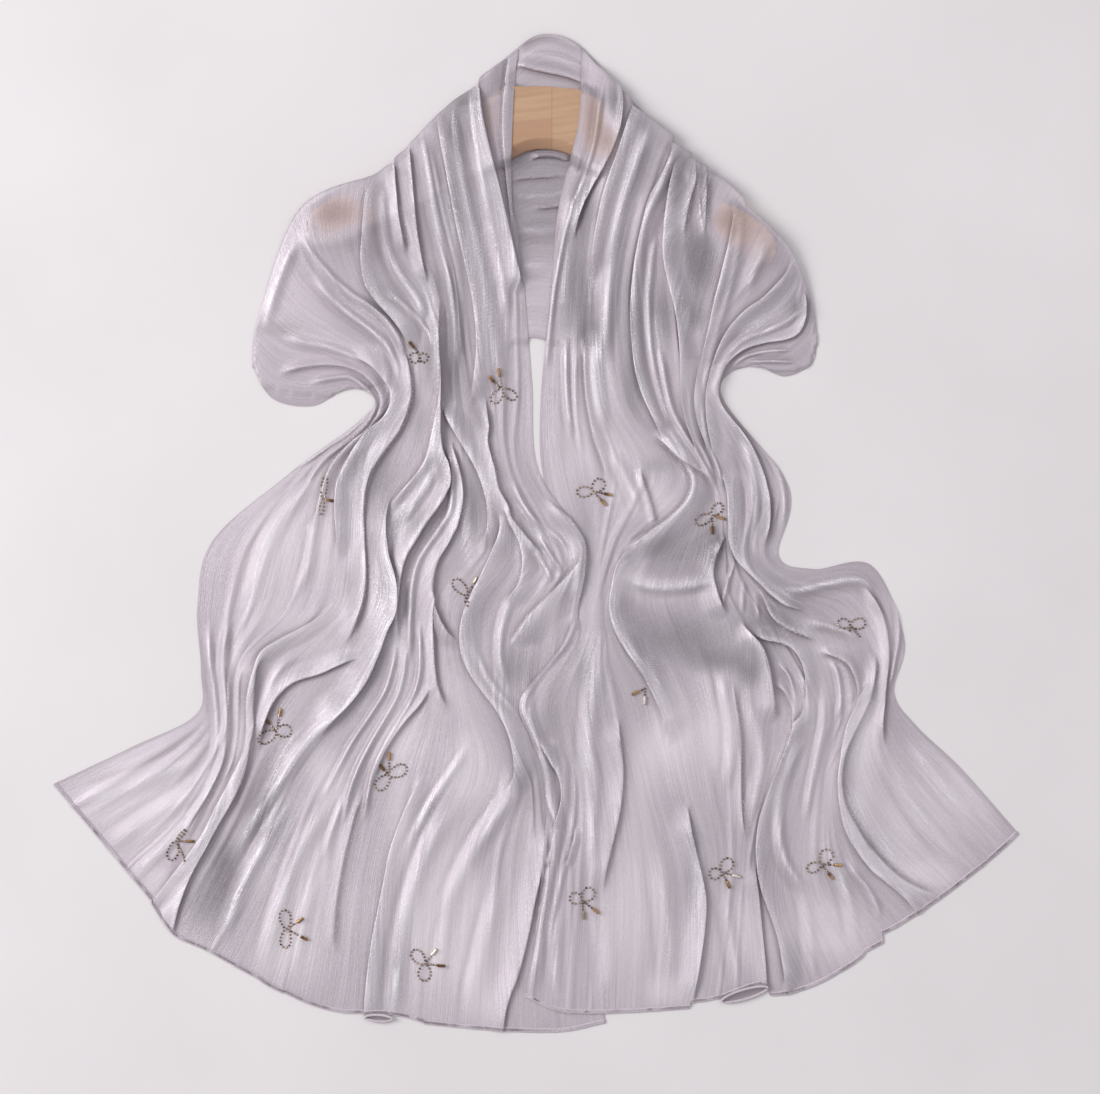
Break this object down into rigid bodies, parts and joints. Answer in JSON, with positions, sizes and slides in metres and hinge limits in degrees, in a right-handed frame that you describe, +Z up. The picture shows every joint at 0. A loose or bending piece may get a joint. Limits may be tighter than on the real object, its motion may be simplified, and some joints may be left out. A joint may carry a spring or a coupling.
{
  "type": "hijab shawl laid over a wooden hanger",
  "caption": "Long sheer hijab shawl laid flat round a wooden hanger: a back stretch behind it, two gathered front halves with deep folds, rolled hems at the short ends",
  "frame": {"origin": "middle of the object's footprint, on the table under it", "axes": "+Z up from the table, +Y towards the collar, +X to the right as one looks down on it with the collar away"},
  "size_m": [0.853, 0.8805, 0.0237],
  "materials": {
    "shawl_satin": "sheer pearly lilac-grey satin with fine lengthwise lustre",
    "hem_stitching": "narrow rolled and stitched hem in the shawl's own colour",
    "beech": "smooth pale lacquered wood"
  },
  "bodies": {
    "root": {"back_stretch": "shawl_satin", "left_front": "shawl_satin", "right_front": "shawl_satin", "left_hem": "hem_stitching", "right_hem": "hem_stitching", "hanger_left": "beech", "hanger_right": "beech"}
  },
  "joints": []
}
